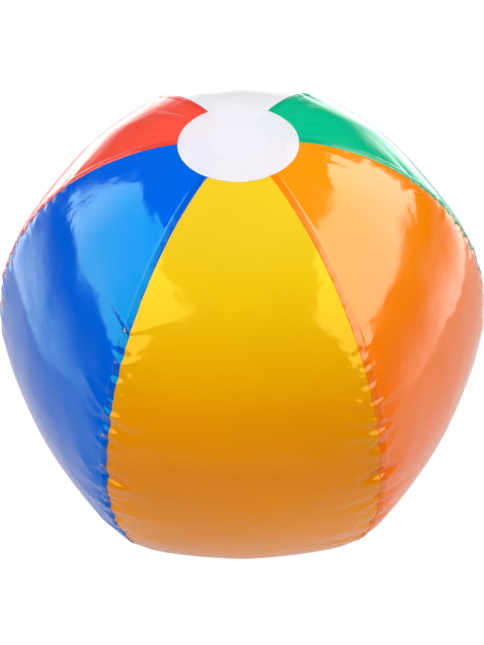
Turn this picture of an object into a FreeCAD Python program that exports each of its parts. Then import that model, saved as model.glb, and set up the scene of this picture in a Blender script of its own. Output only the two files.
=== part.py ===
"""Inflatable beach ball: six film gores, two welded end discs and a push-in valve.

Millimetres. The ball stands on its lower end disc, with the origin at the centre of that disc's
outer face and +Z up through both discs. The yellow gore faces -Y and the valve points along +Y.
"""

import FreeCAD, Part
import math
import os

from FreeCAD import Vector

# Driving dimensions: the inflated envelope.
HALF_HEIGHT = 145.0        # ball centre to the outer face of either end disc
MEAN_RADIUS = 147.4        # ball centre to the film, averaged round the equator
SEAM_RISE = 5.75           # how far the seams stand out of that mean, and the gore middles fall short
SEAM_RISE_POWER = 4        # how fast the rise dies away from the equator towards the discs
SHOULDER_RADIUS = 25.0     # bend between the flat end and the round side
FILM = 0.25                # PVC film thickness
GORE_COUNT = 6
GORE_TIP_RADIUS = 16.0     # the gores' points are cut off here, under the end disc

# Driving dimensions: the end discs.
DISC_RADIUS = 33.5
DISC_FILM = 0.30
WELD_GAP = 0.02            # keeps welded faces apart, so that no two pieces overlap
RING_COUNT = 5             # concentric weld rings near the disc's edge
RING_PITCH = 1.3
RING_HEIGHT = 0.12
RING_WIDTH = 0.6           # at its foot
RING_CREST_WIDTH = 0.24
RING_EDGE_MARGIN = 1.2     # from the outermost ring's middle to the disc's edge

# Driving dimensions: the valve, measured along its own axis from the film's outer face.
FLANGE_RADIUS = 14.0
FLANGE_THICKNESS = 0.8
FILM_HOLE_RADIUS = 10.5
FLANGE_BORE_RADIUS = 8.5
MEMBRANE = 0.4
MEMBRANE_LIP = 0.7         # the sleeve's lip above the film
STEM_RADIUS = 4.75
STEM_BORE_RADIUS = 3.4
STEM_LENGTH = 12.0
STEM_RIM_RADIUS = 5.5
STEM_RIM_HEIGHT = 0.9
COLLAR_RADIUS = 6.8
COLLAR_HEIGHT = 1.0
PLUG_HEAD_RADIUS = 5.75
PLUG_HEAD_HEIGHT = 1.5
PLUG_HEAD_BEVEL = 0.5
PLUG_SHANK_LENGTH = 6.5
PLUG_CLEARANCE = 0.05      # radial, shank in bore
PLUG_TIP_TAPER = 0.6
CUT_REACH = 5.0            # how far a cutting rod reaches each side of the film
CUT_MARGIN = 1.0           # how far a cutting shape passes the face that it cuts
SEAT_GAP = 0.05            # between the stem, the plug's head, the strap's ends and the flap
STRAP_INNER_RADIUS = 6.25
STRAP_OUTER_RADIUS = 7.65
STRAP_THICKNESS = 0.8
STRAP_END_WIDTH = 1.8
FLAP_RADIUS = 4.4
FLAP_THICKNESS = 0.4
FLAP_HINGE_HEIGHT = 4.9    # hinge line above the stem's axis
FLAP_NECK_WIDTH = 5.0

# How finely the film's spline surfaces follow the formula.
SIDE_SPANS = 44            # along a gore, from shoulder to shoulder
SHOULDER_SPANS = 4
FLAT_SPANS = 3
CROSS_SPANS = 16           # across a gore
FLANGE_SPANS = 6           # across the film patch that the flange is cut from
DISC_SPANS = 8             # across a disc's bent edge

# Derived sizes.
FILM_HALF_HEIGHT = HALF_HEIGHT - DISC_FILM - WELD_GAP
GORE_HALF_ANGLE = math.pi / GORE_COUNT
SHOULDER_REACH = math.sqrt((MEAN_RADIUS - SHOULDER_RADIUS) ** 2 - (FILM_HALF_HEIGHT - SHOULDER_RADIUS) ** 2)
SHOULDER_ANGLE = math.asin(SHOULDER_REACH / (MEAN_RADIUS - SHOULDER_RADIUS))
CENTRE = Vector(0, 0, HALF_HEIGHT)
VALVE_FACE = MEAN_RADIUS - SEAM_RISE    # the film's distance from the axis where the valve sits

# Gores by the compass angle of their middles, in degrees.
GORES = {"orange": 330, "green": 30, "white": 90, "red": 150, "blue": 210, "yellow": 270}

UP = Vector(0, 0, 1)
OUT = Vector(0, 1, 0)      # the valve's axis


def meridian():
    """Stations (radius, height above centre, slope) of the film's mean section, upper end to lower.

    The slope is the angle of the outward normal from +Z. Flat end, shoulder arc, round side.
    """
    half = []
    for i in range(FLAT_SPANS):
        reach = GORE_TIP_RADIUS + (SHOULDER_REACH - GORE_TIP_RADIUS) * i / FLAT_SPANS
        half.append((reach, FILM_HALF_HEIGHT, 0.0))
    for i in range(SHOULDER_SPANS):
        slope = SHOULDER_ANGLE * i / SHOULDER_SPANS
        reach = SHOULDER_REACH + SHOULDER_RADIUS * math.sin(slope)
        height = FILM_HALF_HEIGHT - SHOULDER_RADIUS * (1 - math.cos(slope))
        half.append((reach, height, slope))
    for i in range(SIDE_SPANS // 2):
        slope = SHOULDER_ANGLE + (math.pi / 2 - SHOULDER_ANGLE) * 2 * i / SIDE_SPANS
        half.append((MEAN_RADIUS * math.sin(slope), MEAN_RADIUS * math.cos(slope), slope))
    equator = (MEAN_RADIUS, 0.0, math.pi / 2)
    mirrored = [(reach, -height, math.pi - slope) for reach, height, slope in reversed(half)]
    return half + [equator] + mirrored


def film_point(station, turn, offset):
    """A point of the film, turn radians from its gore's middle, offset outwards from the outer face."""
    reach, height, slope = station
    rise = SEAM_RISE * math.sin(slope) ** SEAM_RISE_POWER * math.cos(GORE_COUNT * turn)
    scale = 1 - rise / MEAN_RADIUS
    reach = reach * scale + offset * math.sin(slope)
    height = height * scale + offset * math.cos(slope)
    return Vector(reach * math.cos(turn), reach * math.sin(turn), height)


def spline_face(poles):
    """A clamped spline face whose border depends on its border poles alone, so that borders match."""
    degrees = [min(3, len(poles) - 1), min(3, len(poles[0]) - 1)]
    counts = [len(poles), len(poles[0])]
    knots = [list(range(count - degree + 1)) for count, degree in zip(counts, degrees)]
    mults = []
    for knot, degree in zip(knots, degrees):
        mults.append([degree + 1] + [1] * (len(knot) - 2) + [degree + 1])
    surface = Part.BSplineSurface()
    surface.buildFromPolesMultsKnots(
        poles, mults[0], mults[1], knots[0], knots[1], False, False, degrees[0], degrees[1]
    )
    return surface.toShape()


def film_solid(outer, inner, half_angle, spans):
    """A closed sheet between two offsets of the film, half_angle each side of the gore's middle on +X."""
    turns = [half_angle * (2 * j / spans - 1) for j in range(spans + 1)]
    stations = meridian()
    top = [[film_point(s, t, outer) for t in turns] for s in stations]
    under = [[film_point(s, t, inner) for t in turns] for s in stations]
    faces = [spline_face(top), spline_face(under)]
    for row in (0, -1):
        faces.append(spline_face([top[row], under[row]]))
    for column in (0, -1):
        faces.append(spline_face([[line[column] for line in top], [line[column] for line in under]]))
    sheet = Part.makeCompound(faces)
    sheet.sewShape(0.001)
    solid = Part.makeSolid(sheet.Shells[0])
    if solid.Volume < 0:
        solid.reverse()
    return solid


def turned(shape, degrees):
    """A shape made round +X, turned to its compass angle and lifted to the ball's centre."""
    shape = shape.copy()
    shape.rotate(Vector(0, 0, 0), UP, degrees)
    shape.translate(CENTRE)
    return shape


def valve_point(radius, along):
    """A point of the valve's section plane: radius from its axis, along from the film's outer face."""
    return Vector(radius, VALVE_FACE + along, HALF_HEIGHT)


def valve_turning(outline):
    """A body of revolution round the valve's axis, from (radius, along) corners."""
    points = [valve_point(radius, along) for radius, along in outline]
    face = Part.Face(Part.makePolygon(points + [points[0]]))
    return face.revolve(valve_point(0, 0), OUT, 360)


def valve_rod(radius, low, high):
    """A round rod on the valve's axis."""
    return Part.makeCylinder(radius, high - low, valve_point(0, low), OUT)


def valve_block(x, z, along):
    """A block by its (low, high) limits across, up and along the valve."""
    corner = Vector(x[0], VALVE_FACE + along[0], HALF_HEIGHT + z[0])
    return Part.makeBox(x[1] - x[0], along[1] - along[0], z[1] - z[0], corner)


def make_gore(degrees):
    return turned(film_solid(0.0, -FILM, GORE_HALF_ANGLE, CROSS_SPANS), degrees)


def make_valve_gore(degrees):
    """The gore that carries the valve, with its round hole."""
    hole = valve_rod(FILM_HOLE_RADIUS, -CUT_REACH, CUT_REACH)
    return make_gore(degrees).cut(hole)


def disc_height(reach, offset):
    """Height above the ball's centre of the mean film section, offset outwards, near its end."""
    shoulder_end = MEAN_RADIUS * math.sin(SHOULDER_ANGLE)
    if reach <= SHOULDER_REACH:
        return FILM_HALF_HEIGHT + offset
    if reach <= shoulder_end:
        bend = SHOULDER_RADIUS + offset
        return FILM_HALF_HEIGHT - SHOULDER_RADIUS + math.sqrt(bend**2 - (reach - SHOULDER_REACH) ** 2)
    return math.sqrt((MEAN_RADIUS + offset) ** 2 - reach**2)


def disc_section():
    """Corners (radius, height) of the end disc's section, with its weld rings on the outer face."""
    outer = [(0.0, DISC_FILM + WELD_GAP), (SHOULDER_REACH, DISC_FILM + WELD_GAP)]
    for ring in range(RING_COUNT):
        middle = DISC_RADIUS - RING_EDGE_MARGIN - (RING_COUNT - 1 - ring) * RING_PITCH
        for side, crest in ((-RING_WIDTH, 0), (-RING_CREST_WIDTH, 1), (RING_CREST_WIDTH, 1), (RING_WIDTH, 0)):
            outer.append((middle + side / 2, DISC_FILM + WELD_GAP + crest * RING_HEIGHT))
    outer.append((DISC_RADIUS, DISC_FILM + WELD_GAP))
    inner = []
    for i in range(DISC_SPANS + 1):
        reach = DISC_RADIUS + (SHOULDER_REACH - DISC_RADIUS) * i / DISC_SPANS
        inner.append((reach, WELD_GAP))
    inner.append((0.0, WELD_GAP))
    return [(reach, disc_height(reach, offset)) for reach, offset in outer + inner]


def make_end_disc():
    """The upper end disc, about the ball's centre."""
    points = [Vector(reach, 0, height) for reach, height in disc_section()]
    face = Part.Face(Part.makePolygon(points + [points[0]]))
    return face.revolve(Vector(0, 0, 0), UP, 360)


def make_top_disc():
    return turned(make_end_disc(), 0)


def make_bottom_disc():
    disc = make_end_disc()
    disc.rotate(Vector(0, 0, 0), Vector(1, 0, 0), 180)
    return turned(disc, 0)


def make_flange():
    """Ring that follows the film's outer face round the hole."""
    half_angle = (FLANGE_RADIUS + CUT_REACH) / VALVE_FACE
    patch = film_solid(WELD_GAP + FLANGE_THICKNESS, WELD_GAP, half_angle, FLANGE_SPANS)
    ring = valve_rod(FLANGE_RADIUS, -CUT_REACH, CUT_REACH)
    ring = ring.cut(valve_rod(FLANGE_BORE_RADIUS, -CUT_REACH, CUT_REACH))
    return turned(patch, GORES["white"]).common(ring)


def make_membrane():
    """Thin sleeve from the flange's bore down to the stem's collar, its shape with the stem pushed in."""
    collar_top = COLLAR_HEIGHT - STEM_LENGTH
    lip = FLANGE_BORE_RADIUS - MEMBRANE
    foot = COLLAR_RADIUS - MEMBRANE
    outline = [
        (FLANGE_BORE_RADIUS, MEMBRANE_LIP),
        (FLANGE_BORE_RADIUS, -MEMBRANE_LIP),
        (COLLAR_RADIUS, collar_top),
        (foot, collar_top),
        (lip, -MEMBRANE_LIP),
        (lip, MEMBRANE_LIP),
    ]
    return valve_turning(outline)


def make_stem():
    outline = [
        (STEM_BORE_RADIUS, 0),
        (STEM_RIM_RADIUS, 0),
        (STEM_RIM_RADIUS, -STEM_RIM_HEIGHT),
        (STEM_RADIUS, -STEM_RIM_HEIGHT - (STEM_RIM_RADIUS - STEM_RADIUS)),
        (STEM_RADIUS, COLLAR_HEIGHT - STEM_LENGTH),
        (COLLAR_RADIUS, COLLAR_HEIGHT - STEM_LENGTH),
        (COLLAR_RADIUS, -STEM_LENGTH),
        (STEM_BORE_RADIUS, -STEM_LENGTH),
    ]
    return valve_turning(outline)


def make_plug():
    shank = STEM_BORE_RADIUS - PLUG_CLEARANCE
    top = SEAT_GAP + PLUG_HEAD_HEIGHT
    outline = [
        (0, top),
        (PLUG_HEAD_RADIUS - PLUG_HEAD_BEVEL, top),
        (PLUG_HEAD_RADIUS, top - PLUG_HEAD_BEVEL),
        (PLUG_HEAD_RADIUS, SEAT_GAP),
        (shank, SEAT_GAP),
        (shank, PLUG_TIP_TAPER - PLUG_SHANK_LENGTH),
        (shank - PLUG_TIP_TAPER, -PLUG_SHANK_LENGTH),
        (0, -PLUG_SHANK_LENGTH),
    ]
    return valve_turning(outline)


def make_strap():
    """Half ring below the plug: its -X end is on the stem's rim and its +X end on the plug's head."""
    low = 2 * SEAT_GAP
    high = low + STRAP_THICKNESS
    ring = valve_rod(STRAP_OUTER_RADIUS, low, high).cut(valve_rod(STRAP_INNER_RADIUS, low, high))
    reach = STRAP_OUTER_RADIUS + CUT_MARGIN
    half = valve_block((-reach, reach), (-reach, STRAP_END_WIDTH / 2), (low, high))
    band = ring.common(half)
    middle = (STRAP_INNER_RADIUS + STRAP_OUTER_RADIUS) / 2
    across = (-STRAP_END_WIDTH / 2, STRAP_END_WIDTH / 2)
    root = valve_block((-middle, -STEM_RADIUS), across, (-STEM_RIM_HEIGHT, low))
    root = root.cut(valve_rod(STEM_RIM_RADIUS + SEAT_GAP, -STEM_RIM_HEIGHT - CUT_MARGIN, low + CUT_MARGIN))
    root = root.cut(valve_rod(PLUG_HEAD_RADIUS + SEAT_GAP, 0, low + CUT_MARGIN))
    grip = valve_block((PLUG_HEAD_RADIUS - CUT_MARGIN, middle), across, (low, high))
    grip = grip.cut(valve_rod(PLUG_HEAD_RADIUS + SEAT_GAP, low - CUT_MARGIN, high + CUT_MARGIN))
    return band.fuse([root, grip]).removeSplitter()


def make_flap():
    """Round flap over the stem's inner mouth, with a neck up to the round bead on its hinge line."""
    high = -STEM_LENGTH - SEAT_GAP
    low = high - FLAP_THICKNESS
    neck_half = FLAP_NECK_WIDTH / 2
    disc = valve_rod(FLAP_RADIUS, low, high)
    neck = valve_block((-neck_half, neck_half), (0, FLAP_HINGE_HEIGHT), (low, high))
    bead_start = Vector(-neck_half, VALVE_FACE + (low + high) / 2, HALF_HEIGHT + FLAP_HINGE_HEIGHT)
    bead = Part.makeCylinder(FLAP_THICKNESS / 2, FLAP_NECK_WIDTH, bead_start, Vector(1, 0, 0))
    return disc.fuse([neck, bead]).removeSplitter()


def save(name, shape):
    if not shape.isValid():
        raise ValueError(name + " is not a valid shape")
    shape.exportStep(os.path.join("parts", name + ".step"))
    print(name, "solids", len(shape.Solids), "volume", round(shape.Volume, 2))


os.makedirs("parts", exist_ok=True)

for colour, degrees in GORES.items():
    if colour == "white":
        save("gore_white", make_valve_gore(degrees))
    else:
        save("gore_" + colour, make_gore(degrees))
save("end_disc_top", make_top_disc())
save("end_disc_bottom", make_bottom_disc())
save("valve_flange", make_flange())
save("stem_membrane", make_membrane())
save("valve_stem", make_stem())
save("check_flap", make_flap())
save("plug", make_plug())
save("plug_strap", make_strap())
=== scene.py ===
"""Looks for the inflatable beach ball: inflated film gores, welded discs, valve, studio and camera.

The film is inflated by a small cloth solver in this file. Everything is in metres, in the CAD frame.
"""

import math

import bpy
import numpy as np
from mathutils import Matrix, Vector


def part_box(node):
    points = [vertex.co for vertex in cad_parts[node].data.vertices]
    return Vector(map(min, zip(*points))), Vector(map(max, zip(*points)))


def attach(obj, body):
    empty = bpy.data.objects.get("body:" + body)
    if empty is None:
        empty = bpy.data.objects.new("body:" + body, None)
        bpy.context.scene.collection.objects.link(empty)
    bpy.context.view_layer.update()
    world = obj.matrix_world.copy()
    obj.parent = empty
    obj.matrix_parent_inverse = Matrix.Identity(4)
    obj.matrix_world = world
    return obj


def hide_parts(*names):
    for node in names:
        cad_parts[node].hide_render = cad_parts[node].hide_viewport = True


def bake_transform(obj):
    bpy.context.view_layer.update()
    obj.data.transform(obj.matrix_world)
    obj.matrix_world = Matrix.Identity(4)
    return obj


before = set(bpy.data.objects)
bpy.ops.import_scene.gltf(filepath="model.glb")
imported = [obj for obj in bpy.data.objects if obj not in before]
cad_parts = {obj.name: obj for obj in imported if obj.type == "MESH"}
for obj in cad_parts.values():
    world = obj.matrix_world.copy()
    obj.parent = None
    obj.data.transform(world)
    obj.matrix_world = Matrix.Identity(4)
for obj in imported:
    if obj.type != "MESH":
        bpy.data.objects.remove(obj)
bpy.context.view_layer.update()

MM = 0.001
GORES = 6
FILM = 0.25 * MM
SEAM_ANGLE = 2 * math.pi / GORES
# Gore k lies between seams k and k + 1, counted round from +X.
COLOURS_FROM_PLUS_X = ("green", "white", "red", "blue", "yellow", "orange")

disc_low, disc_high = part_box("end_disc_top")
DISC_RADIUS = (disc_high.x - disc_low.x) / 2
HEIGHT = disc_high.z
MIDDLE = Vector((0, 0, HEIGHT / 2))
VALVE_AXIS_HEIGHT = sum(corner.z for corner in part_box("valve_stem")) / 2
VALVE_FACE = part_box("valve_stem")[1].y     # the film's outer face there


def smooth_step(x, low, high):
    t = np.clip((x - low) / (high - low), 0, 1)
    return t * t * (3 - 2 * t)


# ---------------------------------------------------------------- film: cloth solver
# Grid arrays are (3, rows, columns): rows run from the upper pole to the lower one, columns run
# round the ball and close on themselves. Column k * columns is seam k.

PATTERN_LENGTH = 448.7 * MM    # flat gore, pole to pole
PATTERN_WIDTH = 151.8 * MM     # flat gore, across its middle
POLE_WIDENING = 0.019          # third wave in the gore's outline, that makes its tips nearly 60 degrees wide
STRETCH_ALONG = 0.04           # how much the pressure has stretched the gores' middles
STRETCH_ACROSS = 0.02
STRETCH_RAMP = 40 * MM         # the stretch grows to full over this distance from a disc
SEAM_CROWDING = 0.5            # how far columns crowd towards the seams
WEIGHT = 0.0064                # film weight over pressure force
DAMPING = 0.97
ACROSS_STIFFNESS = 0.3         # bending stiffness across the gore, over that along it
DISC_STIFFNESS = 0.02
DISC_TIGHTNESS = 0.988         # the welded discs hardly stretch, so they start this much smaller
FLOOR = -HEIGHT / 2 + 1 * MM   # the floor's height while the film settles about z = 0
DISC_EDGE = 2 * MM
LOWER_DISC = 0.45 * MM         # room under the film for the lower disc and its weld rings
FILM_SEED = 3
START_NOISE = 0.2 * MM
FINER_NOISE = 0.01 * MM
VALVE_FIT_NEAR = 25 * MM       # the film is shifted onto the valve's face in full up to here
VALVE_FIT_FAR = 70 * MM        # and not at all from here

# rows, columns per gore, steps, pressure push, bending stiffness
LEVELS = [
    (80, 12, 500, 2.0e-6, 0.004),
    (160, 24, 500, 6.0e-7, 0.003),
    (400, 48, 500, 1.2e-7, 0.002),
]


def row_distances(rows):
    """Distance of every grid row from the upper pole, along the flat gore."""
    return np.linspace(0, PATTERN_LENGTH, rows + 1)


def column_places(columns):
    """Places of the grid columns across one gore, from -1 at one seam to 1 at the next."""
    even = np.linspace(-1, 1, columns + 1)
    return (1 - SEAM_CROWDING) * even + SEAM_CROWDING * np.sin(math.pi * even / 2)


def half_widths(distances):
    turn = math.pi * distances / PATTERN_LENGTH
    return PATTERN_WIDTH / 2 * (np.sin(turn) + POLE_WIDENING * np.sin(3 * turn)) / (1 - POLE_WIDENING)


def pattern_grid(rows, columns):
    """Across and along places of one flat gore's grid, and each point's distance from the nearer pole."""
    distance = row_distances(rows)[:, None]
    across = half_widths(distance) * column_places(columns)
    along = np.repeat(distance, columns + 1, 1)
    return across, along, np.hypot(across, np.minimum(along, PATTERN_LENGTH - along))


def rest_lengths(rows, columns):
    """Rest lengths of the across, along and two diagonal links, for the whole ball.

    They come from the flat gore, stretched by the pressure outside the discs.
    """
    place = column_places(columns)
    across, along, from_pole = pattern_grid(rows, columns)
    ramp = np.clip((from_pole - DISC_RADIUS) / STRETCH_RAMP, 0, 1)

    def length(first, second, at):
        """Length of the links from the grid slice first to the slice second."""
        tension = np.minimum(ramp[first], ramp[second])
        stretch = 1 + STRETCH_ALONG * (1 - np.abs(at)) * tension
        d_across = (across[second] - across[first]) * (1 + STRETCH_ACROSS * tension)
        gap = np.hypot(d_across, (along[second] - along[first]) * stretch)
        return np.where(tension > 0, gap, gap * DISC_TIGHTNESS)

    every, left, right = slice(None), slice(None, -1), slice(1, None)
    between = (place[1:] + place[:-1]) / 2
    level = length((every, left), (every, right), between)
    upright = length((left, every), (right, every), place)[:, :-1]
    falling = length((left, left), (right, right), between)
    rising = length((right, left), (left, right), between)
    return [np.tile(a, (1, GORES)).astype(np.float32) for a in (level, upright, falling, rising)]


def pull(a, b, rest):
    """Moves the points of views a and b to their rest distance, half each."""
    gap = b - a
    now = np.sqrt((gap * gap).sum(0)) + 1e-12
    gap *= 0.5 * (now - rest) / now
    a += gap
    b -= gap


def pull_links(film, rest):
    level, upright, falling, rising = rest
    inner = film[:, 1:-1]
    pull(inner[:, :, 0::2], inner[:, :, 1::2], level[1:-1, 0::2])
    pull(inner[:, :, 1:-1:2], inner[:, :, 2::2], level[1:-1, 1:-1:2])
    pull(inner[:, :, -1], inner[:, :, 0], level[1:-1, -1])
    for first in (0, 1):
        pairs = (film.shape[1] - 1 - first) // 2
        last = first + 2 * pairs
        upper = film[:, first:last:2]
        lower = film[:, first + 1 : last + 1 : 2]
        pull(upper, lower, upright[first:last:2])
        rest_falling = falling[first:last:2]
        rest_rising = rising[first:last:2]
        pull(upper[:, :, :-1], lower[:, :, 1:], rest_falling[:, :-1])
        pull(upper[:, :, -1], lower[:, :, 0], rest_falling[:, -1])
        pull(upper[:, :, 1:], lower[:, :, :-1], rest_rising[:, :-1])
        pull(upper[:, :, 0], lower[:, :, -1], rest_rising[:, -1])


def area_normals(film):
    """Outward normal at every grid point, as long as the area that the point stands for."""
    across = (np.roll(film, -1, 2) - np.roll(film, 1, 2)) / 2
    along = np.gradient(film, axis=1)
    return np.cross(along, across, axis=0)


def bending(film):
    """Fourth differences along and across the gores."""
    along = np.zeros_like(film)
    along[:, 1:-1] = film[:, 2:] + film[:, :-2] - 2 * film[:, 1:-1]
    fourth = np.zeros_like(film)
    fourth[:, 1:-1] = along[:, 2:] + along[:, :-2] - 2 * along[:, 1:-1]
    across = np.roll(film, 1, 2) + np.roll(film, -1, 2) - 2 * film
    fourth_across = np.roll(across, 1, 2) + np.roll(across, -1, 2) - 2 * across
    return fourth, fourth_across


def settle(film, rows, columns, steps, push, stiffness):
    """Inflates the film in place: pressure, weight and bending, with the links held at rest length."""
    rest = rest_lengths(rows, columns)
    from_pole = np.tile(pattern_grid(rows, columns)[2][:, :-1], GORES)
    in_disc = (1 / (1 + np.exp((from_pole - DISC_RADIUS) / DISC_EDGE))).astype(np.float32)
    along_stiffness = stiffness + DISC_STIFFNESS * in_disc
    across_stiffness = ACROSS_STIFFNESS * stiffness + DISC_STIFFNESS * in_disc
    before = film.copy()
    normals = area_normals(film)
    unit = push / np.sqrt((normals[:, rows // 2] ** 2).sum(0)).mean()
    for _ in range(steps):
        normals = area_normals(film)
        force = normals * unit
        force[2] -= WEIGHT * unit * np.sqrt((normals * normals).sum(0))
        fourth, fourth_across = bending(film)
        force -= along_stiffness * fourth + across_stiffness * fourth_across
        step = (film - before) * DAMPING + force
        before[...] = film
        film += step
        film[:, 0] = film[:, 0].mean(1)[:, None]
        film[:, -1] = film[:, -1].mean(1)[:, None]
        pull_links(film, rest)
        np.maximum(film[2], FLOOR, out=film[2])
    return film


def first_film(rows, columns, random):
    """A sphere that the coarsest grid starts from."""
    polar = math.pi * row_distances(rows) / PATTERN_LENGTH
    radius = PATTERN_LENGTH / math.pi
    place = column_places(columns)[:-1]
    turn = np.concatenate([SEAM_ANGLE * (k + (place + 1) / 2) for k in range(GORES)])
    film = np.stack(
        (
            radius * np.sin(polar)[:, None] * np.cos(turn),
            radius * np.sin(polar)[:, None] * np.sin(turn),
            radius * np.cos(polar)[:, None] * np.ones(len(turn)),
        )
    )
    return (film + random.normal(0, START_NOISE, film.shape)).astype(np.float32)


def cubic_taps(places, count, closed):
    """The four grid lines round each fractional place, and their Catmull-Rom weights."""
    base = np.floor(places).astype(int)
    if not closed:
        base = np.clip(base, 0, count - 2)
    t = places - base
    weights = (
        ((-t + 2) * t - 1) * t / 2,
        ((3 * t - 5) * t * t + 2) / 2,
        ((-3 * t + 4) * t + 1) * t / 2,
        (t - 1) * t * t / 2,
    )
    lines = [base + shift for shift in (-1, 0, 1, 2)]
    return [(line % count if closed else np.clip(line, 0, count - 1), w) for line, w in zip(lines, weights)]


def grid_points(film, down, across):
    """Film points at fractional rows and columns, which broadcast together; coordinates come first."""
    points = 0
    for row, row_weight in cubic_taps(down, film.shape[1], False):
        for column, column_weight in cubic_taps(across, film.shape[2], True):
            points = points + film[:, row, column] * (row_weight * column_weight)
    return points


def finer(film, rows, columns):
    """The same film on a finer grid."""
    old_rows = film.shape[1] - 1
    old_columns = film.shape[2] // GORES
    down = np.linspace(0, old_rows, rows + 1)[:, None]
    film = grid_points(film, down, np.arange(GORES * columns) * old_columns / columns)
    return np.ascontiguousarray(film, np.float32)


def fit_to_valve(film):
    """Shifts the film round the valve along Y, so that its outer face meets the valve's face."""
    from_axis = np.hypot(film[0], film[2] - VALVE_AXIS_HEIGHT)
    near = (film[1] > 0) * (1 - smooth_step(from_axis, VALVE_FIT_NEAR, VALVE_FIT_FAR))
    at_valve = film[1][near > 0][np.argmin(from_axis[near > 0])]
    film[1] += near * (VALVE_FACE - at_valve)
    return film


def inflate(levels):
    """The inflated film, standing on z = 0 with its axis on the z axis."""
    random = np.random.default_rng(FILM_SEED)
    film = None
    for rows, columns, steps, push, stiffness in levels:
        if film is None:
            film = first_film(rows, columns, random)
        else:
            film = finer(film, rows, columns)
            film += random.normal(0, FINER_NOISE, film.shape).astype(np.float32)
        settle(film, rows, columns, steps, push, stiffness)
    film = film.astype(float)
    film[0] -= (film[0, 0, 0] + film[0, -1, 0]) / 2
    film[1] -= (film[1, 0, 0] + film[1, -1, 0]) / 2
    film[2] += LOWER_DISC - film[2].min()
    return fit_to_valve(film)


# ---------------------------------------------------------------- film: places on the inflated film

def place_table():
    """Pairs of even places and crowded places across a gore, to look one up from the other."""
    steps = 2000
    return np.linspace(-1, 1, steps + 1), column_places(steps)


def column_index(turns, columns):
    """Fractional grid column of places given in gores round the ball: 2.5 is the middle of gore 2."""
    even, crowded = place_table()
    gore = np.floor(turns)
    within = np.interp(2 * (turns - gore) - 1, crowded, even)
    return (gore + (within + 1) / 2) * columns


def film_at(film, distance, turns):
    """Film points at distances from the upper pole and places round the ball, as (rows, columns, 3)."""
    rows = film.shape[1] - 1
    columns = film.shape[2] // GORES
    points = grid_points(film, distance / PATTERN_LENGTH * rows, column_index(turns, columns))
    return np.moveaxis(points, 0, -1)


def film_round_pole(film, radius, angle, upper):
    """Film points at flat distances radius from a pole, at angles round the ball."""
    gore = np.floor(angle / SEAM_ANGLE)
    aside = angle - (gore + 0.5) * SEAM_ANGLE
    along = radius * np.cos(aside)
    place = np.clip(radius * np.sin(aside) / half_widths(along), -1, 1)
    return film_at(film, along if upper else PATTERN_LENGTH - along, gore + (place + 1) / 2)


def surface_normals(points, closed=False):
    """Outward unit normals of an (M, K, 3) grid of film points."""
    along = np.gradient(points, axis=0)
    if closed:
        across = (np.roll(points, -1, 1) - np.roll(points, 1, 1)) / 2
    else:
        across = np.gradient(points, axis=1)
    normals = np.cross(along, across)
    return normals / (np.linalg.norm(normals, axis=-1, keepdims=True) + 1e-12)


# ---------------------------------------------------------------- meshes

def add_object(name, vertices, faces, sharp_degrees=50):
    mesh = bpy.data.meshes.new(name)
    mesh.from_pydata([tuple(v) for v in vertices], [], faces)
    mesh.update()
    mesh.shade_smooth()
    mesh.set_sharp_from_angle(angle=math.radians(sharp_degrees))
    piece = bpy.data.objects.new(name, mesh)
    bpy.context.scene.collection.objects.link(piece)
    return piece


def grid_quads(rows, columns, closed=False):
    """Corner indexes of a grid's quads, wound to face outwards, as (quads, 4)."""
    last = columns if closed else columns - 1
    row, column = np.meshgrid(np.arange(rows - 1), np.arange(last), indexing="ij")
    row, column = row.ravel(), column.ravel()
    beside = (column + 1) % columns
    corners = [row * columns + column, (row + 1) * columns + column]
    corners += [(row + 1) * columns + beside, row * columns + beside]
    return np.stack(corners, 1)


def thick_sheet(name, outer, inner, quads, cap=()):
    """A closed sheet between two (N, 3) point lists that share the same quads, walled at its edges.

    cap is a loop of points round a hole, in outward order, that one flat face fills.
    """
    count = len(outer)
    starts = quads
    ends = np.roll(quads, -1, 1)
    forward = (starts * count + ends).ravel()
    backward = (ends * count + starts).ravel()
    edge = ~np.isin(forward, backward)
    edge &= ~(np.isin(starts, cap) & np.isin(ends, cap)).ravel()
    a = starts.ravel()[edge]
    b = ends.ravel()[edge]
    walls = np.stack((b, a, a + count, b + count), 1)
    quads = np.concatenate((quads, quads[:, ::-1] + count, walls))
    used = np.unique(quads)
    renumber = np.zeros(2 * count, int)
    renumber[used] = np.arange(len(used))
    faces = renumber[quads].tolist()
    if len(cap):
        faces.append(renumber[cap].tolist())
        faces.append(renumber[cap[::-1] + count].tolist())
    piece = add_object(name, np.concatenate((outer, inner))[used], faces)
    return piece, used


def set_attribute(piece, name, values):
    attribute = piece.data.attributes.new(name, "FLOAT", "POINT")
    attribute.data.foreach_set("value", np.asarray(values, np.float32))


# ---------------------------------------------------------------- gores

LAP = 4.0 * MM                 # width of the welded lap between two gores
LAP_END = 5.2 * MM             # where the lap's raised edge has died away
LAP_LIFT = FILM + 0.02 * MM    # the upper film lies this far above the lower one
EDGE_ROUND = 0.15 * MM
EDGE_DROP = 0.07 * MM
DIP_REACH = 1.0 * MM           # the lower film dips this close to the seam, under the discs
WELD_LINES = (0.95 * MM, 2.05 * MM, 3.15 * MM)
WELD_RISE = 0.10 * MM
WELD_WIDTH = 0.20 * MM
WELD_BLUR = 0.3 * MM           # edge of the darker tint over a lap
TIP = 16 * MM                  # the gores' points are cut off this far from the poles
ROW_PITCH = 1.05 * MM
MIDDLE_COLUMNS = 40
MIDDLE_CROWDING = 0.09
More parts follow.
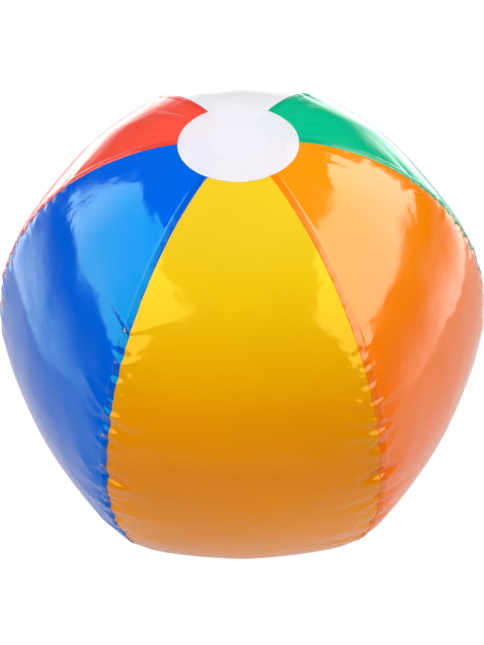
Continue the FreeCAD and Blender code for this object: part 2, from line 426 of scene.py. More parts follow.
# Grid columns beside a seam, in mm from it: on the upper film, close at the weld lines, and on the lower.
OVER_STEPS = (0.0, 0.15, 0.4, 0.7, 0.95, 1.2, 1.5, 1.8, 2.05, 2.3)
OVER_STEPS += (2.6, 2.9, 3.15, 3.4, 3.7, 4.0, 4.4, 4.8, 5.2)
UNDER_STEPS = (-4.0, -3.0, -2.0, -1.0, -0.4, 0.0, 0.3, 0.6, 1.0, 1.6, 2.4, 3.4, 4.4, 5.2)
LAPS_OVER = {                  # at which of its seams (-1 lower angle, +1 higher) a gore lies on top
    "green": (-1, 1),
    "white": (),
    "red": (-1, 1),
    "blue": (1,),
    "yellow": (),
    "orange": (-1,),
}
FILM_HOLE_RADIUS = 10.5 * MM

CREASE_SEED = 11
LONG_SHARE = 0.22              # of the creases
# Ranges of half width, rise and length, in mm.
LONG_CREASE = ((1.7, 2.8), (0.6, 1.15), (22, 50))
SHORT_CREASE = ((1.1, 1.9), (0.25, 0.65), (8, 22))
CREASE_SLANT = 0.35
CREASE_PITCH = (4, 9)          # mm
CREASES_FROM = 14 * MM         # from the upper disc's edge
CREASES_TO = 12 * MM           # from the lower disc's edge
FOLD_SEED = 40
FOLD_REACH = 0.46              # radians each side of a gore's middle line
FOLD_BEND = 1.2
FOLD_FADE = (0.36, 0.48)       # radians from the middle line, where folds die away towards the seams
WIDENING = 30 * MM             # a crease or fold is twice as wide after this length


def lap_lift(from_seam, over, fade):
    """How far the film's outer face stands off the inflated surface, from its distance to a seam.

    fade is 0 under the end discs, where the lower film dips, and 1 elsewhere, where the upper rises.
    """
    if over:
        raised = LAP_LIFT * (1 - smooth_step(from_seam, LAP, LAP_END))
        raised = raised - EDGE_DROP * (1 - smooth_step(from_seam, 0, EDGE_ROUND))
        for line in WELD_LINES:
            raised = raised + WELD_RISE * np.exp(-(((from_seam - line) / WELD_WIDTH) ** 2))
        return raised * fade
    dip = 1 - smooth_step(from_seam, 0, DIP_REACH)
    return -LAP_LIFT * dip * (1 - fade)


def seam_creases():
    """For each seam, its creases: place along the gore, slant, half width, rise, and length on each side.

    The welded seam is less stretched than the film beside it, so the film gathers there. Most creases
    are short and close together. A few long ones run well into the gores.
    """
    random = np.random.default_rng(CREASE_SEED)
    seams = []
    for _ in range(GORES):
        creases = []
        place = DISC_RADIUS + CREASES_FROM
        while place < PATTERN_LENGTH - DISC_RADIUS - CREASES_TO:
            widths, rises, reaches = LONG_CREASE if random.random() < LONG_SHARE else SHORT_CREASE
            width = random.uniform(*widths)
            rise = random.uniform(*rises)
            lengths = random.uniform(*reaches, 2)
            slants = random.uniform(-CREASE_SLANT, CREASE_SLANT, 2)
            creases.append((place, slants, width * MM, rise * MM * random.choice((-1, 1)), lengths * MM))
            place += random.uniform(*CREASE_PITCH) * MM
        seams.append(creases)
    return seams


def gather(distance, from_seam, creases, side):
    """Height of the creases at points on one side (0 or 1) of their seam."""
    rise = np.zeros_like(from_seam)
    taper = np.sin(math.pi * distance / PATTERN_LENGTH) ** 1.5
    for place, slants, width, height, lengths in creases:
        rows = np.abs(distance[:, 0] - place) < 5 * width + 15 * MM
        x = from_seam[rows]
        spread = width * (1 + x / WIDENING)
        aside = (distance[rows] - place - slants[side] * x) / spread
        fade = 1 - smooth_step(x, -4 * MM, lengths[side])
        rise[rows] += height * fade * np.exp(-(aside**2)) * taper[rows]
    return rise


def disc_folds(gore):
    """Fine folds that run out from a disc's weld over one gore.

    Each is (direction, bend, half width, rise, length).
    """
    random = np.random.default_rng(FOLD_SEED + gore)
    folds = []
    direction = -FOLD_REACH
    while direction < FOLD_REACH:
        width = random.uniform(1.0, 2.3) * MM
        rise = random.uniform(0.12, 0.42) * MM * random.choice((-1, 1))
        bend = random.uniform(-FOLD_BEND, FOLD_BEND)
        folds.append((direction, bend, width, rise, random.uniform(14, 48) * MM))
        direction += random.uniform(0.05, 0.13)
    return folds


def fold_height(folds, end_distance, aside):
    """Height of a gore's folds at flat points, from their distance along and aside of its middle line."""
    from_pole = np.hypot(end_distance, aside)
    beyond = from_pole - DISC_RADIUS / DISC_TIGHTNESS
    direction = np.arctan2(aside, end_distance)
    height = np.zeros_like(beyond)
    from_seams = 1 - smooth_step(np.abs(direction), *FOLD_FADE)
    for middle, bend, width, rise, length in folds:
        off = (direction - middle - bend * np.maximum(beyond, 0)) * from_pole
        fade = smooth_step(beyond, 0.5 * MM, 6 * MM) * (1 - smooth_step(beyond, 0.3 * length, length))
        spread = width * (1 + np.maximum(beyond, 0) / WIDENING)
        height += rise * fade * from_seams * np.exp(-((off / spread) ** 2))
    return height


def gore_grid(film, gore, colour):
    """Outer points, normals and weld amounts of one gore, on its own grid."""
    count = int(round((PATTERN_LENGTH - 2 * TIP) / ROW_PITCH)) + 1
    distance = np.linspace(TIP, PATTERN_LENGTH - TIP, count)
    width = 2 * half_widths(distance)
    left_over = -1 in LAPS_OVER[colour]
    right_over = 1 in LAPS_OVER[colour]
    left = np.array(OVER_STEPS if left_over else UNDER_STEPS) * MM
    right = np.array(OVER_STEPS if right_over else UNDER_STEPS)[::-1] * MM
    share = np.linspace(0, 1, MIDDLE_COLUMNS + 2)[1:-1]
    share = share - MIDDLE_CROWDING * np.sin(2 * math.pi * share)
    middle = LAP_END + (width[:, None] - 2 * LAP_END) * share
    across = np.concatenate((np.repeat(left[None], count, 0), middle, width[:, None] - right[None]), 1)
    aside = across - width[:, None] / 2
    points = film_at(film, distance[:, None], gore + across / width[:, None])
    normals = surface_normals(points)
    end_distance = np.minimum(distance, PATTERN_LENGTH - distance)[:, None]
    from_pole = np.hypot(end_distance, aside) * DISC_TIGHTNESS
    fade = smooth_step(from_pole, DISC_RADIUS + 0.3 * MM, DISC_RADIUS + 3 * MM)
    from_left = across
    from_right = width[:, None] - across
    creases = seam_creases()
    down = distance[:, None]
    gathers = gather(down, from_left, creases[gore], 1)
    gathers += gather(down, from_right, creases[(gore + 1) % GORES], 0)
    upper_half = down < PATTERN_LENGTH / 2
    for folds, half in ((disc_folds(gore), upper_half), (disc_folds(gore + GORES), ~upper_half)):
        gathers += half * fold_height(folds, end_distance, aside)
    lift = gathers + lap_lift(from_left, left_over, fade) + lap_lift(from_right, right_over, fade)
    weld = np.zeros_like(across)
    for over, from_seam in ((left_over, from_left), (right_over, from_right)):
        if over:
            weld = np.maximum(weld, 1 - smooth_step(from_seam, LAP - WELD_BLUR, LAP + WELD_BLUR))
    return points + normals * lift[..., None], normals, weld


def valve_radius(points):
    """Distance of points from the valve's axis, which runs along Y."""
    return np.hypot(points[..., 0], points[..., 2] - VALVE_AXIS_HEIGHT)


def cut_valve_hole(outer, inner, quads):
    """Drops the quads inside the valve's hole and rounds the hole's edge."""
    behind = outer[:, 1] > 0
    inside = behind & (valve_radius(outer) < FILM_HOLE_RADIUS)
    kept = quads[~inside[quads].any(1)]
    dropped = np.unique(quads[inside[quads].any(1)])
    rim = np.intersect1d(dropped, np.unique(kept))
    for points in (outer, inner):
        scale = FILM_HOLE_RADIUS / valve_radius(points[rim])
        points[rim, 0] *= scale
        points[rim, 2] = VALVE_AXIS_HEIGHT + (points[rim, 2] - VALVE_AXIS_HEIGHT) * scale
    return kept


def make_gore(film, gore, colour):
    points, normals, weld = gore_grid(film, gore, colour)
    rows, columns = weld.shape
    outer = points.reshape(-1, 3)
    inner = outer - normals.reshape(-1, 3) * FILM
    quads = grid_quads(rows, columns)
    if colour == "white":
        quads = cut_valve_hole(outer, inner, quads)
    piece, used = thick_sheet("film_" + colour, outer, inner, quads)
    set_attribute(piece, "weld", np.tile(weld.ravel(), 2)[used])
    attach(piece, "ball")
    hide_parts("gore_" + colour)
    return piece


# ---------------------------------------------------------------- end discs

DISC_FILM = 0.30 * MM
DISC_GAP = 0.04 * MM
RING_COUNT = 5
RING_PITCH = 1.3 * MM
RING_MARGIN = 1.2 * MM
RING_RISE = 0.16 * MM
RING_WIDTH = 0.24 * MM
DISC_SPOKES = 240
DISC_STEP = 0.22 * MM
DISC_COARSE_STEP = 1.0 * MM
DISC_EDGE_DROP = 0.12 * MM
DISC_EDGE_ROUND = 0.25 * MM


def disc_reaches():
    """Radii of the disc's grid circles: coarse in the middle, fine where the weld rings are."""
    rings_start = DISC_RADIUS - RING_MARGIN - RING_COUNT * RING_PITCH
    coarse = np.arange(0.5 * MM, rings_start, DISC_COARSE_STEP)
    fine = np.arange(rings_start, DISC_RADIUS - 0.1 * MM, DISC_STEP)
    return np.concatenate((coarse, fine, [DISC_RADIUS - 0.12 * MM, DISC_RADIUS - 0.04 * MM, DISC_RADIUS]))


def make_disc(film, name, node, upper):
    reach = disc_reaches()
    if not upper:
        reach = reach[::-1]
    angle = 2 * math.pi * np.arange(DISC_SPOKES) / DISC_SPOKES
    points = film_round_pole(film, reach[:, None] / DISC_TIGHTNESS, angle, upper)
    normals = surface_normals(points, closed=True)
    lift = np.full(len(reach), DISC_GAP + DISC_FILM)
    for ring in range(RING_COUNT):
        middle = DISC_RADIUS - RING_MARGIN - ring * RING_PITCH
        lift = lift + RING_RISE * np.exp(-(((reach - middle) / RING_WIDTH) ** 2))
    lift = lift - DISC_EDGE_DROP * smooth_step(reach, DISC_RADIUS - DISC_EDGE_ROUND, DISC_RADIUS)
    outer = (points + normals * lift[:, None, None]).reshape(-1, 3)
    inner = (points + normals * DISC_GAP).reshape(-1, 3)
    quads = grid_quads(len(reach), DISC_SPOKES, closed=True)
    if upper:
        cap = np.arange(DISC_SPOKES)
    else:
        cap = (len(reach) - 1) * DISC_SPOKES + np.arange(DISC_SPOKES)[::-1]
    piece, _ = thick_sheet(name, outer, inner, quads, cap)
    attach(piece, "ball")
    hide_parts(node)
    return piece


# ---------------------------------------------------------------- valve

# Radii and depths below are the CAD's, measured along the valve's axis from the film's outer face.
FLANGE_RADIUS = (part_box("valve_flange")[1].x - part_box("valve_flange")[0].x) / 2
FLANGE_BORE = 8.5 * MM
LIP_ROOM = 0.05 * MM           # keeps the ring's bore and the sleeve's lip from sharing one wall
STEM_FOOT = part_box("valve_stem")[0].y
COLLAR_RADIUS = 6.8 * MM
COLLAR_HEIGHT = 1.0 * MM
STEM_RADIUS = 4.75 * MM
STEM_BORE = 3.4 * MM
STEM_RIM_RADIUS = 5.5 * MM
STEM_RIM_HEIGHT = 0.9 * MM
MEMBRANE = 0.4 * MM
LIP = 0.7 * MM
PLUG_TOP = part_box("plug")[1].y
PLUG_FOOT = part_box("plug")[0].y
PLUG_HEAD_RADIUS = (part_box("plug")[1].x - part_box("plug")[0].x) / 2
PLUG_HEAD_HEIGHT = 1.5 * MM
PLUG_SHANK_RADIUS = STEM_BORE - 0.05 * MM
LATHE_SPOKES = 72
FILLET_SHARE = 0.45            # of the shorter side beside a corner, that its rounding may take
NEAREST = 6                    # film points averaged for a place on the valve's ring
NEAREST_BLUR = 1e-9            # square metres
SLEEVE_STEPS = 24
STEM_EDGE = 0.25 * MM
STRAP_RADIUS = 6.95 * MM
STRAP_LEVEL = 0.5 * MM         # above the film's face
STRAP_STEPS = 32
STRAP_HALF_WIDTH = 0.7 * MM
STRAP_HALF_THICKNESS = 0.4 * MM
STRAP_SIDES = 12


def fillet(outline, radii, steps=4):
    """Rounds the corners of a closed outline of (radius, along) points by the given radii."""
    rounded = []
    count = len(outline)
    for i, radius in enumerate(radii):
        corner = Vector(outline[i])
        back = Vector(outline[i - 1]) - corner
        ahead = Vector(outline[(i + 1) % count]) - corner
        if radius == 0:
            rounded.append(tuple(corner))
            continue
        reach = min(radius, back.length * FILLET_SHARE, ahead.length * FILLET_SHARE)
        start = corner + back.normalized() * reach
        end = corner + ahead.normalized() * reach
        for step in range(steps + 1):
            t = step / steps
            point = start * (1 - t) ** 2 + corner * 2 * t * (1 - t) + end * t * t
            rounded.append(tuple(point))
    return rounded


def lathe(name, outline):
    """A body of revolution round the valve's axis, from a closed outline of (radius, y) points.

    The outline runs clockwise: outwards along its +Y side, back along its -Y side.
    """
    turns = 2 * math.pi * np.arange(LATHE_SPOKES) / LATHE_SPOKES
    vertices = []
    rings = []
    for radius, y in outline:
        if radius < 1e-6:
            rings.append([len(vertices)] * LATHE_SPOKES)
            vertices.append((0, y, VALVE_AXIS_HEIGHT))
            continue
        rings.append(list(range(len(vertices), len(vertices) + LATHE_SPOKES)))
        for turn in turns:
            vertices.append((radius * math.cos(turn), y, VALVE_AXIS_HEIGHT + radius * math.sin(turn)))
    faces = []
    for ring, after in zip(rings, rings[1:] + rings[:1]):
        for i in range(LATHE_SPOKES):
            j = (i + 1) % LATHE_SPOKES
            corners = [ring[i], ring[j], after[j], after[i]]
            face = [c for n, c in enumerate(corners) if c not in corners[:n]]
            if len(face) > 2:
                faces.append(face)
    return add_object(name, vertices, faces, sharp_degrees=40)


def make_flange(film):
    """Ring on the film round the valve's hole, with two embossed weld circles."""
    reach = np.concatenate((np.arange(FLANGE_BORE + LIP_ROOM, FLANGE_RADIUS, 0.25 * MM), [FLANGE_RADIUS]))
    turn = 2 * math.pi * np.arange(LATHE_SPOKES * 2) / (LATHE_SPOKES * 2)
    x = reach[:, None] * np.cos(turn)
    z = VALVE_AXIS_HEIGHT - reach[:, None] * np.sin(turn)
    y = film_depth(film, x, z)
    points = np.stack((x, y, z), -1)
    normals = surface_normals(points, closed=True)
    lift = 0.85 * MM - 0.45 * MM * smooth_step(reach, FLANGE_BORE + 2 * MM, FLANGE_BORE + 2.6 * MM)
    for middle in (FLANGE_BORE + 3.4 * MM, FLANGE_BORE + 4.6 * MM):
        lift = lift + 0.10 * MM * np.exp(-(((reach - middle) / (0.3 * MM)) ** 2))
    lift = lift - 0.2 * MM * smooth_step(reach, FLANGE_RADIUS - 0.4 * MM, FLANGE_RADIUS)
    outer = (points + normals * lift[:, None, None]).reshape(-1, 3)
    inner = (points + normals * 0.04 * MM).reshape(-1, 3)
    quads = grid_quads(len(reach), len(turn), closed=True)
    piece, _ = thick_sheet("valve_base", outer, inner, quads)
    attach(piece, "ball")
    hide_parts("valve_flange")
    return piece


def film_depth(film, x, z):
    """The film's y where lines along +Y through (x, z) meet the back of the ball.

    It is the average of the nearest film points, weighted by one over their squared distance.
    """
    white = COLOURS_FROM_PLUS_X.index("white")
    columns = film.shape[2] // GORES
    rows = film.shape[1] - 1
    first, last = rows // 2 - rows // 8, rows // 2 + rows // 8
    patch = film[:, first:last, white * columns : (white + 1) * columns + 1]
    points = patch.reshape(3, -1)
    depth = np.zeros(x.shape)
    for index in np.ndindex(x.shape):
        gap = (points[0] - x[index]) ** 2 + (points[2] - z[index]) ** 2
        near = np.argsort(gap)[:NEAREST]
        weight = 1 / (gap[near] + NEAREST_BLUR)
        depth[index] = (points[1, near] * weight).sum() / weight.sum()
    return depth


def make_membrane():
    """Soft sleeve from the flange's bore to the stem's collar, as one fixed shape; on the real valve it turns
    inside out with the stem.
    """
    foot = STEM_FOOT + COLLAR_HEIGHT
    outer_wall, inner_wall = [], []
    for i in range(SLEEVE_STEPS + 1):
        t = i / SLEEVE_STEPS
        y = (VALVE_FACE - LIP) * (1 - t) + foot * t
        narrowing = smooth_step(t, 0, 1)
        outer_wall.append((FLANGE_BORE + (COLLAR_RADIUS - FLANGE_BORE) * narrowing, y))
        inner_wall.append((FLANGE_BORE - MEMBRANE + (COLLAR_RADIUS - FLANGE_BORE) * narrowing, y))
    top = [(FLANGE_BORE - MEMBRANE, VALVE_FACE + LIP), (FLANGE_BORE, VALVE_FACE + LIP)]
    piece = lathe("stem_sleeve", top + outer_wall + inner_wall[::-1])
    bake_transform(piece)
    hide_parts("stem_membrane")
    return piece


def make_stem():
    neck = VALVE_FACE - STEM_RIM_HEIGHT
    shoulder = STEM_FOOT + COLLAR_HEIGHT
    outline = [
        (STEM_BORE, VALVE_FACE),
        (STEM_RIM_RADIUS, VALVE_FACE),
        (STEM_RIM_RADIUS, neck),
        (STEM_RADIUS, neck - STEM_RIM_RADIUS + STEM_RADIUS),
        (STEM_RADIUS, shoulder),
        (COLLAR_RADIUS, shoulder),
        (COLLAR_RADIUS, STEM_FOOT),
        (STEM_BORE, STEM_FOOT),
    ]
    piece = lathe("blow_stem", fillet(outline, [STEM_EDGE] * len(outline)))
    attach(piece, "stem")
    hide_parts("valve_stem")
    return piece


def make_plug():
    seat = PLUG_TOP - PLUG_HEAD_HEIGHT
    outline = [
        (0, PLUG_TOP - 0.35 * MM),
        (3.1 * MM, PLUG_TOP - 0.35 * MM),
        (3.7 * MM, PLUG_TOP),
        (PLUG_HEAD_RADIUS, PLUG_TOP),
        (PLUG_HEAD_RADIUS, seat),
        (PLUG_SHANK_RADIUS, seat),
        (PLUG_SHANK_RADIUS, PLUG_FOOT + 0.6 * MM),
        (PLUG_SHANK_RADIUS - 0.6 * MM, PLUG_FOOT),
        (0, PLUG_FOOT),
    ]
    radii = [0, 0.3 * MM, 0.3 * MM, 0.6 * MM, 0.3 * MM, 0.1 * MM, 0.3 * MM, 0.3 * MM, 0]
    piece = lathe("stopper", fillet(outline, radii))
    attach(piece, "plug")
    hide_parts("plug")
    return piece


def make_strap():
    """Flat half ring below the plug, from the stem's rim at -X to the plug's head at +X."""
    path = [(-STEM_RIM_RADIUS - 0.1 * MM, -0.45 * MM, 0), (-6.3 * MM, -0.35 * MM, 0), (-6.85 * MM, 0, 0)]
    for i in range(STRAP_STEPS + 1):
        turn = math.pi + math.pi * i / STRAP_STEPS
        path.append((STRAP_RADIUS * math.cos(turn), STRAP_LEVEL, STRAP_RADIUS * math.sin(turn)))
    path += [(6.4 * MM, STRAP_LEVEL, 0), (PLUG_HEAD_RADIUS + 0.1 * MM, STRAP_LEVEL, 0)]
    return ribbon("plug_tether", path)


def ribbon(name, path):
    """The strap: a rounded band along a path given from the valve's axis and the film's face."""
    points = np.array(path)
    along = np.gradient(points, axis=0)
    along /= np.linalg.norm(along, axis=1, keepdims=True)
    axis = np.array((0, 1, 0))
    side = np.cross(along, axis)
    side /= np.linalg.norm(side, axis=1, keepdims=True)
    over = np.cross(side, along)
    section = []
    for i in range(STRAP_SIDES):
        turn = 2 * math.pi * i / STRAP_SIDES
        c, s = math.cos(turn), math.sin(turn)
        wide = math.copysign(abs(c) ** 0.5, c) * STRAP_HALF_WIDTH
        section.append((wide, math.copysign(abs(s) ** 0.5, s) * STRAP_HALF_THICKNESS))
    rings = [points + side * w + over * h for w, h in section]
    grid = np.stack(rings, 1)
    vertices = grid.reshape(-1, 3) + np.array((0, VALVE_FACE, VALVE_AXIS_HEIGHT))
    quads = grid_quads(len(path), STRAP_SIDES, closed=True)
    last = list(range(len(vertices) - STRAP_SIDES, len(vertices)))
    faces = quads.tolist() + [list(range(STRAP_SIDES)), last[::-1]]
    piece = add_object(name, vertices, faces)
    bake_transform(piece)
    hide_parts("plug_strap")
    return piece


# ---------------------------------------------------------------- materials

class Nodes:
    """A material's node tree, with short calls to add and link nodes."""

    def __init__(self, name):
        self.material = bpy.data.materials.new(name)
        self.material.use_nodes = True
        self.tree = self.material.node_tree
        self.shader = self.tree.nodes["Principled BSDF"]

    def add(self, kind, **inputs):
        node = self.tree.nodes.new("ShaderNode" + kind)
        for key, value in inputs.items():
            node.inputs[key.replace("_", " ")].default_value = value
        return node

    def link(self, output, socket):
        self.tree.links.new(output, socket)

    def place(self):
        return self.add("TexCoord").outputs["Object"]

    def mix(self, factor, a, b, kind="MIX"):
        """A colour mix; factor, a and b are sockets or values."""
        node = self.tree.nodes.new("ShaderNodeMix")
        node.data_type = "RGBA"
        node.blend_type = kind
        for index, value in ((0, factor), (6, a), (7, b)):
            if isinstance(value, bpy.types.NodeSocket):
                self.link(value, node.inputs[index])
            elif index == 0:
                node.inputs[index].default_value = value
            else:
                node.inputs[index].default_value = (*value, 1)
        return node.outputs[2]

    def ramp(self, value, low, high, to_low=0.0, to_high=1.0):
        node = self.tree.nodes.new("ShaderNodeMapRange")
        node.interpolation_type = "SMOOTHSTEP"
        self.link(value, node.inputs["Value"])
        node.inputs["From Min"].default_value = low
        node.inputs["From Max"].default_value = high
        node.inputs["To Min"].default_value = to_low
        node.inputs["To Max"].default_value = to_high
        return node.outputs["Result"]

    def colour_ramp(self, value, stops):
        """Colours by value; stops are (value, colour) pairs in order."""
        node = self.add("ValToRGB")
        self.link(value, node.inputs["Fac"])
        elements = node.color_ramp.elements
        while len(elements) < len(stops):
            elements.new(0.5)
        for element, (position, colour) in zip(elements, stops):
            element.position = position
            element.color = (*colour, 1)
        return node.outputs["Color"]

    def noise(self, scale, detail=2.0, roughness=0.5):
        node = self.add("TexNoise", Scale=scale, Detail=detail, Roughness=roughness)
        self.link(self.place(), node.inputs["Vector"])
        return node.outputs["Fac"]

    def bump(self, height, strength, distance, after=None):
        node = self.add("Bump", Strength=strength, Distance=distance)
        self.link(height, node.inputs["Height"])
        if after is not None:
            self.link(after, node.inputs["Normal"])
        return node.outputs["Normal"]


# Film colours in linear light, by height from the floor (0) to the top (1). They are tuned and
# take in some shading, so the lower half is deeper in tone. They are not measured colours of the film.
FILM_TONES = {
    "yellow": ((0.0, (0.86, 0.25, 0.0)), (0.43, (0.86, 0.26, 0.0)), (0.59, (0.76, 0.215, 0.0)),
               (0.72, (0.80, 0.30, 0.0)), (0.83, (0.83, 0.43, 0.001)), (0.915, (0.845, 0.55, 0.004)),
               (0.965, (0.83, 0.56, 0.016))),
    "orange": ((0.0, (0.95, 0.155, 0.0)), (0.5, (1.0, 0.165, 0.0)), (0.76, (1.0, 0.19, 0.0)),
               (0.86, (1.0, 0.25, 0.0)), (1.0, (1.0, 0.30, 0.001))),
    "green": ((0.0, (0.0, 0.40, 0.19)), (1.0, (0.0, 0.53, 0.26))),
    "white": ((0.0, (0.82, 0.82, 0.85)), (1.0, (0.85, 0.85, 0.88))),
    "red": ((0.0, (0.85, 0.05, 0.03)), (1.0, (0.93, 0.085, 0.055))),
    "blue": ((0.0, (0.0, 0.09, 0.60)), (0.5, (0.0, 0.10, 0.66)), (1.0, (0.0, 0.12, 0.74))),
}
# Tint of the film's gloss seen head on.
GLOSS_TINTS = {
    "blue": (0.0, 1.0, 0.45),
    "green": (0.5, 1.0, 0.9),
    "yellow": (0.75, 0.7, 0.1),
    "orange": (1.0, 1.0, 0.7),
}


def film_material(colour):
    tones = FILM_TONES[colour]
    n = Nodes("pvc_film_" + colour)
    split = n.add("SeparateXYZ")
    n.link(n.place(), split.inputs[0])
    share = n.add("Math")
    share.operation = "DIVIDE"
    share.inputs[1].default_value = HEIGHT
    n.link(split.outputs["Z"], share.inputs[0])
    # Base colour by height: the film's colour with painted shade, lighter at the top and deeper in tone lower
    # down.
    tone = n.colour_ramp(share.outputs[0], tones)
    cloud = n.ramp(n.noise(9.0), 0.3, 0.7, 0.96, 1.03)
    shade = n.add("CombineColor")
    for channel in range(3):
        n.link(cloud, shade.inputs[channel])
    tone = n.mix(1.0, tone, shade.outputs[0], "MULTIPLY")
    weld = n.add("Attribute")
    weld.attribute_name = "weld"
    darker = tuple(c * 0.80 for c in tones[0][1])
    amount = n.ramp(weld.outputs["Fac"], 0, 1, 0.0, 0.45)
    tone = n.mix(amount, tone, darker)
    n.link(tone, n.shader.inputs["Base Color"])
    n.link(n.ramp(n.noise(30.0), 0.35, 0.65, 0.08, 0.15), n.shader.inputs["Roughness"])
    n.shader.inputs["IOR"].default_value = 1.53
    n.shader.inputs["Specular Tint"].default_value = (*GLOSS_TINTS.get(colour, (1, 1, 1)), 1)
    slow = n.bump(n.noise(22.0, 1.0), 1.0, 0.0022)
    wave = n.bump(n.noise(75.0, 2.0), 0.6, 0.0004, slow)
    grain = n.bump(n.noise(260.0, 3.0), 0.35, 0.00012, wave)
    n.link(grain, n.shader.inputs["Normal"])
    return n.material


SECTOR_BLUR = 0.012            # of a turn, between the tints of neighbouring gores under a disc


def disc_material():
    """Translucent white film, faintly tinted by the coloured gore points under it."""
    n = Nodes("pvc_disc_white")
    base = (0.77, 0.765, 0.83)
    split = n.add("SeparateXYZ")
    n.link(n.place(), split.inputs[0])
    angle = n.add("Math")
    angle.operation = "ARCTAN2"
    n.link(split.outputs["Y"], angle.inputs[0])
    n.link(split.outputs["X"], angle.inputs[1])
    turn = n.add("MapRange")
    n.link(angle.outputs[0], turn.inputs["Value"])
    turn.inputs["From Min"].default_value = -math.pi
    turn.inputs["From Max"].default_value = math.pi
    stops = []
    for i, colour in enumerate(("blue", "yellow", "orange", "green", "white", "red")):
        tint = FILM_TONES[colour][-1][1]
        stops.append((i / GORES + SECTOR_BLUR, tint))
        stops.append(((i + 1) / GORES - SECTOR_BLUR, tint))
    sectors = n.colour_ramp(turn.outputs["Result"], stops)
    reach = n.add("VectorMath")
    reach.operation = "LENGTH"
    flat = n.add("CombineXYZ")
    n.link(split.outputs["X"], flat.inputs["X"])
    n.link(split.outputs["Y"], flat.inputs["Y"])
    n.link(flat.outputs[0], reach.inputs[0])
    under = n.ramp(reach.outputs["Value"], TIP - 2.0 * MM, TIP + 4.0 * MM, 0.0, 0.05)
    n.link(n.mix(under, base, sectors), n.shader.inputs["Base Color"])
    n.link(n.ramp(n.noise(40.0), 0.35, 0.65, 0.16, 0.24), n.shader.inputs["Roughness"])
    n.shader.inputs["IOR"].default_value = 1.5
    wave = n.bump(n.noise(120.0, 1.0), 0.15, 0.0003)
    n.link(wave, n.shader.inputs["Normal"])
    return n.material


def vinyl_material():
    """Soft moulded PVC, milky clear."""
    n = Nodes("moulded_vinyl")
    tone = n.mix(n.ramp(n.noise(90.0), 0.3, 0.7), (0.84, 0.87, 0.895), (0.86, 0.89, 0.91))
    n.link(tone, n.shader.inputs["Base Color"])
    n.link(n.ramp(n.noise(400.0), 0.3, 0.7, 0.24, 0.30), n.shader.inputs["Roughness"])
    n.shader.inputs["IOR"].default_value = 1.52
    n.shader.inputs["Subsurface Weight"].default_value = 0.3
    n.shader.inputs["Subsurface Radius"].default_value = (0.002, 0.002, 0.002)
    n.shader.inputs["Subsurface Scale"].default_value = 0.5
    n.link(n.bump(n.noise(600.0), 0.1, 0.00005), n.shader.inputs["Normal"])
    return n.material


def paint(piece, material):
    piece.data.materials.clear()
    piece.data.materials.append(material)


# ---------------------------------------------------------------- studio

CAMERA_DISTANCE = 0.7472
CAMERA_TURN = math.radians(0.48)       # round +Z from straight in front of the yellow gore
CAMERA_RISE = math.radians(46.31)
CAMERA_ROLL = math.radians(-1.34)
FOCAL_LENGTH = 65.35                   # mm, on a 36 mm sensor as tall as the picture
SENSOR = 36.0
SHIFT = (-0.0008, 0.0026)


def direction(turn, rise):
    """Unit vector at compass angle turn from +X and angle rise above the floor, in degrees."""
    turn, rise = math.radians(turn), math.radians(rise)
    return Vector((math.cos(turn) * math.cos(rise), math.sin(turn) * math.cos(rise), math.sin(rise)))


def aim(thing, back, right):
    """Turns a camera or light so that its own +Z is back and its +X is as near right as can be."""
    up = back.cross(right).normalized()
    right = up.cross(back).normalized()
    matrix = thing.matrix_world.copy()
    for row in range(3):
        matrix[row][0], matrix[row][1], matrix[row][2] = right[row], up[row], back[row]
    thing.matrix_world = matrix


def make_camera():
    data = bpy.data.cameras.new("camera")
    camera = bpy.data.objects.new("camera", data)
    bpy.context.scene.collection.objects.link(camera)
    data.sensor_fit = "VERTICAL"
    data.sensor_height = SENSOR
    data.lens = FOCAL_LENGTH
    data.shift_x, data.shift_y = SHIFT
    data.clip_start = 0.01
    back = direction(math.degrees(CAMERA_TURN) - 90, math.degrees(CAMERA_RISE))
    right = Vector((math.cos(CAMERA_TURN), math.sin(CAMERA_TURN), 0))
    up = back.cross(right)
    camera.location = MIDDLE + back * CAMERA_DISTANCE
    bpy.context.view_layer.update()
    aim(camera, back, right * math.cos(CAMERA_ROLL) + up * math.sin(CAMERA_ROLL))
    bpy.context.scene.camera = camera


def softbox(name, turn, rise, distance, width, height, radiance, gloss):
    """A rectangular area light that faces the ball, for its gloss alone or for its matt shading alone."""
    data = bpy.data.lights.new(name, "AREA")
    data.shape = "RECTANGLE"
    data.size = width
    data.size_y = height
    data.energy = math.pi * width * height * radiance
    light = bpy.data.objects.new(name, data)
    bpy.context.scene.collection.objects.link(light)
    back = direction(turn, rise)
    light.location = MIDDLE + back * distance
    bpy.context.view_layer.update()
    aim(light, back, Vector((-back.y, back.x, 0)))
    light.visible_glossy = gloss
    light.visible_diffuse = not gloss
    return light


FLOOR_RADIUS = 0.6
FLOOR_GLOW = 0.12


def make_floor():
    bpy.ops.mesh.primitive_circle_add(vertices=128, radius=FLOOR_RADIUS, fill_type="NGON", location=(0, 0, 0))
    floor = bpy.context.object
    floor.name = "floor"
    n = Nodes("pale_floor")
    tone = n.mix(n.ramp(n.noise(2.0), 0.3, 0.7), (0.70, 0.70, 0.70), (0.72, 0.72, 0.72))
    n.link(tone, n.shader.inputs["Base Color"])
    n.shader.inputs["Roughness"].default_value = 0.7
    n.shader.inputs["Specular IOR Level"].default_value = 0.1
    n.shader.inputs["Emission Color"].default_value = (1, 1, 1, 1)
    n.shader.inputs["Emission Strength"].default_value = FLOOR_GLOW
    glow = n.add("Emission")
    shown = n.add("MixShader")
    n.link(n.add("LightPath").outputs["Is Camera Ray"], shown.inputs[0])
    n.link(n.shader.outputs[0], shown.inputs[1])
    n.link(glow.outputs[0], shown.inputs[2])
    n.link(shown.outputs[0], n.tree.nodes["Material Output"].inputs["Surface"])
    paint(floor, n.material)


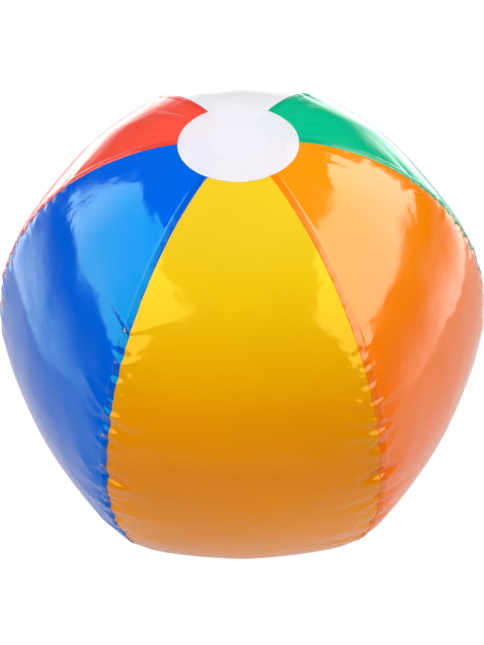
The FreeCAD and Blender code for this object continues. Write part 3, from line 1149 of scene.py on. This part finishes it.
def make_world():
    """White to the camera, soft to matt surfaces; to glossy ones bright low down behind, dark overhead."""
    world = bpy.data.worlds.new("studio")
    bpy.context.scene.world = world
    world.use_nodes = True
    tree = world.node_tree
    background = tree.nodes["Background"]
    path = tree.nodes.new("ShaderNodeLightPath")
    place = tree.nodes.new("ShaderNodeTexCoord")
    split = tree.nodes.new("ShaderNodeSeparateXYZ")
    tree.links.new(place.outputs["Generated"], split.inputs[0])
    levels = []
    for axis, low, high, at_low, at_high in (("Z", -0.4, 0.07, 1.0, 0.0), ("Y", -0.3, 0.5, 0.5, 3.0)):
        level = tree.nodes.new("ShaderNodeMapRange")
        level.interpolation_type = "SMOOTHSTEP"
        tree.links.new(split.outputs[axis], level.inputs["Value"])
        for key, value in (("From Min", low), ("From Max", high), ("To Min", at_low), ("To Max", at_high)):
            level.inputs[key].default_value = value
        levels.append(level.outputs["Result"])
    wall = tree.nodes.new("ShaderNodeMath")
    wall.operation = "MULTIPLY"
    tree.links.new(levels[0], wall.inputs[0])
    tree.links.new(levels[1], wall.inputs[1])
    glossy = tree.nodes.new("ShaderNodeMix")
    tree.links.new(path.outputs["Is Glossy Ray"], glossy.inputs[0])
    glossy.inputs[2].default_value = 0.25
    tree.links.new(wall.outputs[0], glossy.inputs[3])
    camera = tree.nodes.new("ShaderNodeMix")
    tree.links.new(path.outputs["Is Camera Ray"], camera.inputs[0])
    tree.links.new(glossy.outputs[0], camera.inputs[2])
    camera.inputs[3].default_value = 1.0
    tree.links.new(camera.outputs[0], background.inputs["Strength"])
    background.inputs["Color"].default_value = (1, 1, 1, 1)


# ---------------------------------------------------------------- build

bpy.context.scene.view_settings.view_transform = "Standard"
make_camera()
make_world()
make_floor()
softbox("left_gloss", 190, 38, 0.9, 1.6, 0.72, 5.0, True)
softbox("right_gloss", -3, 39, 0.9, 1.8, 0.72, 5.0, True)
softbox("left_key", 215, 35, 1.2, 1.2, 1.2, 1.35, False)
softbox("right_key", -35, 35, 1.2, 1.2, 1.2, 1.35, False)
softbox("top_key", 270, 80, 1.2, 1.4, 1.4, 1.1, False)
softbox("back_key", 90, 35, 1.2, 1.4, 1.4, 1.3, False)

ball_film = inflate(LEVELS)
for number, colour_name in enumerate(COLOURS_FROM_PLUS_X):
    paint(make_gore(ball_film, number, colour_name), film_material(colour_name))
disc_white = disc_material()
paint(make_disc(ball_film, "disc_upper", "end_disc_top", True), disc_white)
paint(make_disc(ball_film, "disc_lower", "end_disc_bottom", False), disc_white)
vinyl = vinyl_material()
for valve_piece in (make_flange(ball_film), make_membrane(), make_stem(), make_plug(), make_strap()):
    paint(valve_piece, vinyl)
paint(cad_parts["check_flap"], vinyl)
